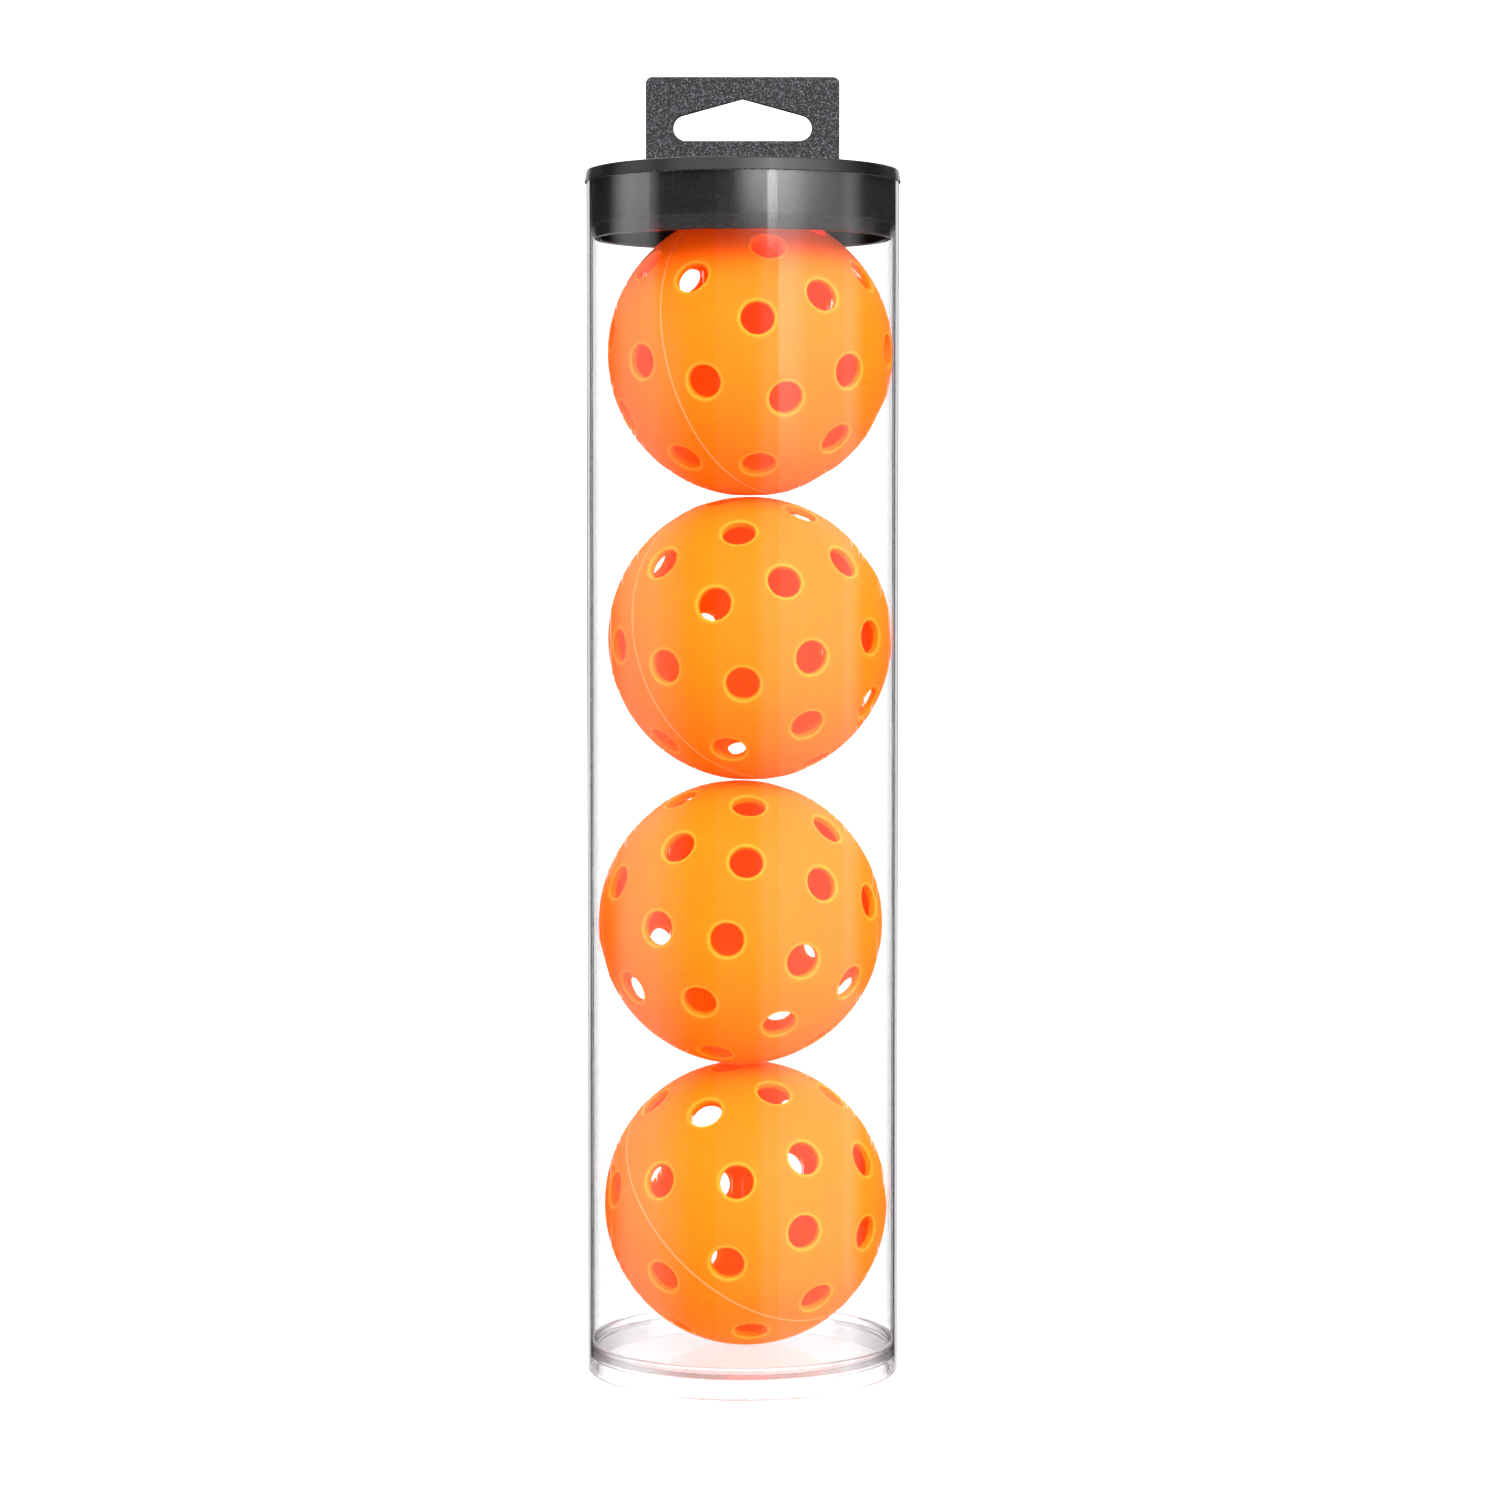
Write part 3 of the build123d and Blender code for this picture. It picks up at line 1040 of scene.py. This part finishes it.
def spark_eroded_cap_plastic():
    """Black polypropylene from a spark-eroded mould: a fine hard grain, with pale flecks painted on
    as painted glints, left off the lower skirt, where the mould was polished."""
    material, tree = surface_material("Spark Eroded Polypropylene")
    coords = add(tree, "ShaderNodeTexCoord").outputs["Object"]
    height = add(tree, "ShaderNodeSeparateXYZ", {0: coords}).outputs["Z"]
    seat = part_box("tube")[1].z
    # Steps in the grain's depth going up: polished low skirt, light grain on the skirt, finer on
    # the rim, full on the tab
    depth = POLISHED
    for start, end, change in (
        (-12.0, -11.4, 0.21),
        (-0.1, 0.1, -0.15),
        (CAP_RIM - 0.2, CAP_RIM + 0.2, 0.90),
    ):
        share = add(
            tree,
            "ShaderNodeMapRange",
            {"Value": height, 1: seat + start * MM, 2: seat + end * MM, 3: 0.0, 4: change},
        ).outputs["Result"]
        depth = add(tree, "ShaderNodeMath", {0: depth, 1: share}, operation="ADD").outputs[0]
    # Pits, and pale flecks that are painted glints, about 0.4 mm across, coarser than the real ones
    pits = add(tree, "ShaderNodeTexNoise", {"Vector": coords, "Scale": 2200.0, "Detail": 2.0})
    specks = add(tree, "ShaderNodeTexNoise", {"Vector": coords, "Scale": 2600.0, "Detail": 1.0})
    painted_glints = add(
        tree,
        "ShaderNodeMapRange",
        {"Value": specks.outputs["Fac"], 1: 0.5, 2: 0.78, 3: 0.0, 4: 1.0},
    ).outputs["Result"]
    fleck = add(
        tree, "ShaderNodeMapRange", {"Value": depth, 1: 0.1, 2: 1.0, 3: 0.04, 4: 1.0}
    ).outputs["Result"]
    painted_glints = add(tree, "ShaderNodeMath", {0: painted_glints, 1: fleck}, operation="MULTIPLY").outputs[0]
    # Painted glints: pale grey flecks mixed into the black base colour
    colour = add(
        tree,
        "ShaderNodeMix",
        {"Factor": painted_glints, "A": linear("#161518"), "B": linear("#7a777e")},
        data_type="RGBA",
    )
    roughness = add(
        tree, "ShaderNodeMapRange", {"Value": depth, 1: POLISHED, 2: 0.6, 3: 0.18, 4: 0.5}
    ).outputs["Result"]
    bump = add(
        tree,
        "ShaderNodeBump",
        {"Height": pits.outputs["Fac"], "Distance": 0.06 * MM, "Strength": depth},
    )
    shader = add(
        tree,
        "ShaderNodeBsdfPrincipled",
        {
            "Roughness": roughness,
            "IOR": 1.49,
            "Specular IOR Level": 0.38,
            "Normal": bump.outputs[0],
        },
    )
    tree.links.new(colour.outputs["Result"], shader.inputs["Base Color"])
    add(tree, "ShaderNodeOutputMaterial", {"Surface": shader.outputs[0]})
    return material


# ---------------------------------------------------------------- studio


# Softboxes round the pack: azimuths from and to in degrees (0 in front, 90 to the right), softness
# of their sides, elevations from and to, softness of their ends, and radiance
SOFTBOXES = {
    "left": ((-104, -66), (14, 5), (-26, 60), 12, 0.70),
    "left_fade": ((-66, -52), (5, 18), (-30, 3.0), 0.8, 0.56),
    "left_upper": ((-104, -72), (14, 1.5), (4.3, 60), 0.8, 0.80),
    "centre": ((-19.5, 26), (1, 1), (-60, 60), 20, 0.08),
    "centre_right": ((13, 25.5), (5, 1.5), (-26, 60), 12, 0.34),
    "right": ((26, 93), (1.5, 12), (-26, 60), 12, 0.66),
    "right_edge": ((80, 92), (4, 8), (-26, 60), 12, 0.22),
    "right_upper": ((26, 42), (1.5, 12), (1.6, 60), 1.6, 0.90),
    "key": ((18, 25.5), (1.2, 1.5), (4.4, 60), 0.7, 3.4),
    "key_spread": ((0, 44), (10, 32), (4.7, 60), 0.8, 2.6),
    "front": ((-60, 75), (14, 14), (17, 62), 6, 2.4),
    "back_left": ((-190, -136), (1, 14), (17, 62), 6, 3.0),
    "back_right": ((136, 190), (14, 1), (17, 62), 6, 3.0),
    "ceiling": ((-180, 180), (1, 1), (66, 100), 8, 1.5),
    "floor_bounce": ((-180, 180), (1, 1), (-100, -22), 6, 0.08),
}
BACKDROP = 1.0  # radiance of the white screen behind the pack, in reflections
SCREEN_ENDS = (0.90, 0.975)  # where the screen lies, as the backward part of a direction
SCREEN_SOFT = (0.02, 0.01)
ROOM = 0.015  # dim room between the softboxes
BACKGROUND = 2.0  # white seen straight or through clear walls
TABLE = 1.3  # white table below, in glints
TABLE_ENDS = (-18.0, -12.0)  # elevations between which it fades out
TWICE = 0.65  # share of light through the tube that is counted twice


def studio_world():
    """A white background for straight looks, and a dim room with softboxes for everything else."""
    world = bpy.data.worlds.new("Studio")
    world.use_nodes = True
    tree = world.node_tree
    tree.nodes.clear()
    way = add(tree, "ShaderNodeTexCoord").outputs["Generated"]
    part = add(tree, "ShaderNodeSeparateXYZ", {0: way}).outputs
    front = add(tree, "ShaderNodeMath", {0: part["Y"], 1: -1.0}, operation="MULTIPLY").outputs[0]
    around = add(tree, "ShaderNodeMath", {0: part["X"], 1: front}, operation="ARCTAN2").outputs[0]
    azimuth = add(tree, "ShaderNodeMath", {0: around}, operation="DEGREES").outputs[0]
    rise = add(tree, "ShaderNodeMath", {0: part["Z"]}, operation="ARCSINE").outputs[0]
    elevation = add(tree, "ShaderNodeMath", {0: rise}, operation="DEGREES").outputs[0]

    def window(value, ends, soft):
        """1 between two ends and 0 outside them, with a soft change at each."""
        sides = [
            add(
                tree,
                "ShaderNodeMapRange",
                {"Value": value, 1: end - change, 2: end + change, 3: before, 4: 1.0 - before},
                interpolation_type="SMOOTHSTEP",
            ).outputs["Result"]
            for end, change, before in zip(ends, soft, (0.0, 1.0))
        ]
        both = add(tree, "ShaderNodeMath", {0: sides[0], 1: sides[1]}, operation="MULTIPLY")
        return both.outputs[0]

    light = ROOM
    for sides, side_soft, ends, end_soft, radiance in SOFTBOXES.values():
        wide = window(azimuth, sides, side_soft)
        tall = window(elevation, ends, (end_soft, end_soft))
        box = add(tree, "ShaderNodeMath", {0: wide, 1: tall}, operation="MULTIPLY").outputs[0]
        light = add(
            tree, "ShaderNodeMath", {0: box, 1: radiance, 2: light}, operation="MULTIPLY_ADD"
        ).outputs[0]
    back = window(part["Y"], SCREEN_ENDS, SCREEN_SOFT)
    light = add(
        tree, "ShaderNodeMath", {0: back, 1: BACKDROP, 2: light}, operation="MULTIPLY_ADD"
    ).outputs[0]

    path = add(tree, "ShaderNodeLightPath").outputs
    scattered = add(
        tree,
        "ShaderNodeMath",
        {0: path["Diffuse Depth"], 1: 0.5},
        operation="GREATER_THAN",
    ).outputs[0]
    bounces = add(
        tree,
        "ShaderNodeMath",
        {0: path["Diffuse Depth"], 1: path["Glossy Depth"]},
        operation="ADD",
    ).outputs[0]
    straight = add(tree, "ShaderNodeMath", {0: bounces, 1: 0.5}, operation="LESS_THAN").outputs[0]
    through = path["Is Transmission Ray"]
    looks = add(
        tree, "ShaderNodeMath", {0: path["Is Camera Ray"], 1: through}, operation="MAXIMUM"
    ).outputs[0]
    seen = add(tree, "ShaderNodeMath", {0: looks, 1: straight}, operation="MULTIPLY").outputs[0]
    # Glints inside the clear pieces that turn down find the white table
    table = add(
        tree,
        "ShaderNodeMapRange",
        {"Value": elevation, 1: TABLE_ENDS[0], 2: TABLE_ENDS[1], 3: TABLE, 4: 0.0},
        interpolation_type="SMOOTHSTEP",
    ).outputs["Result"]
    below = add(tree, "ShaderNodeMath", {0: through, 1: table}, operation="MULTIPLY").outputs[0]
    glints = add(tree, "ShaderNodeMath", {0: below, 1: light}, operation="MAXIMUM").outputs[0]
    # Light that scatters and then passes the tube is mostly counted by the lamps' straight way
    twice = add(
        tree, "ShaderNodeMath", {0: through, 1: scattered}, operation="MULTIPLY"
    ).outputs[0]
    once = add(
        tree, "ShaderNodeMath", {0: twice, 1: -TWICE, 2: 1.0}, operation="MULTIPLY_ADD"
    ).outputs[0]
    lit = add(tree, "ShaderNodeMath", {0: glints, 1: once}, operation="MULTIPLY").outputs[0]
    strength = add(
        tree,
        "ShaderNodeMix",
        {"Factor": seen, "A": lit, "B": BACKGROUND},
        data_type="FLOAT",
    ).outputs["Result"]
    shown = add(tree, "ShaderNodeBackground", {"Color": linear("#ffffff"), "Strength": strength})
    add(tree, "ShaderNodeOutputWorld", {"Surface": shown.outputs[0]})
    bpy.context.scene.world = world


class BALLPACK_OT_stage(bpy.types.Operator):
    """Makes the floor, the studio light and the camera"""

    bl_idname = "ballpack.stage"
    bl_label = "Make Stage"

    def execute(self, context):
        scene = context.scene
        scene.view_settings.view_transform = "Standard"
        bpy.ops.mesh.primitive_plane_add(size=6, location=(0, 0, 0))
        floor = context.object
        floor.name = "studio_floor"
        material, tree = surface_material("White Floor")
        paint = add(
            tree,
            "ShaderNodeBsdfPrincipled",
            {
                "Base Color": linear("#f3f3f3"),
                "Roughness": 0.9,
                "Emission Color": linear("#ffffff"),
                "Emission Strength": 0.75,
            },
        )
        add(tree, "ShaderNodeOutputMaterial", {"Surface": paint.outputs[0]})
        floor.data.materials.append(material)
        floor.visible_glossy = False
        floor.visible_diffuse = False
        floor.visible_transmission = False

        studio_world()

        camera = bpy.data.objects.new("camera", bpy.data.cameras.new("camera"))
        context.collection.objects.link(camera)
        camera.location = (0, -0.995, 0.2215)
        camera.rotation_euler = (math.radians(90 - 2.15), 0, 0)
        camera.data.sensor_width = 36
        camera.data.lens = 91.74
        camera.data.shift_x = 0.0049
        camera.data.shift_y = -0.0569
        scene.camera = camera
        return {"FINISHED"}


# ---------------------------------------------------------------- panel and registration


class BALLPACK_PT_panel(bpy.types.Panel):
    """Lists the pack's pieces and sizes"""

    bl_label = "Ball Pack"
    bl_idname = "BALLPACK_PT_panel"
    bl_space_type = "VIEW_3D"
    bl_region_type = "UI"
    bl_category = "Ball Pack"

    def draw(self, context):
        for operator in STEPS:
            self.layout.operator(operator.bl_idname)
        for group in (context.scene.ball_sizes, context.scene.tube_sizes):
            for name in group.bl_rna.properties.keys():
                if name not in ("rna_type", "name"):
                    self.layout.prop(group, name)


STEPS = (
    BALLPACK_OT_stage,
    BALLPACK_OT_balls,
    BALLPACK_OT_tube,
    BALLPACK_OT_foot_plug,
    BALLPACK_OT_hang_cap,
)
CLASSES = (BallSizes, TubeSizes, *STEPS, BALLPACK_PT_panel)


def register():
    for kind in CLASSES:
        bpy.utils.register_class(kind)
    bpy.types.Scene.ball_sizes = bpy.props.PointerProperty(type=BallSizes)
    bpy.types.Scene.tube_sizes = bpy.props.PointerProperty(type=TubeSizes)


def unregister():
    del bpy.types.Scene.tube_sizes
    del bpy.types.Scene.ball_sizes
    for kind in reversed(CLASSES):
        bpy.utils.unregister_class(kind)


def main():
    register()
    bpy.ops.ballpack.stage()
    bpy.ops.ballpack.balls()
    bpy.ops.ballpack.tube()
    bpy.ops.ballpack.foot_plug()
    bpy.ops.ballpack.hang_cap()


if __name__ == "__main__":
    main()
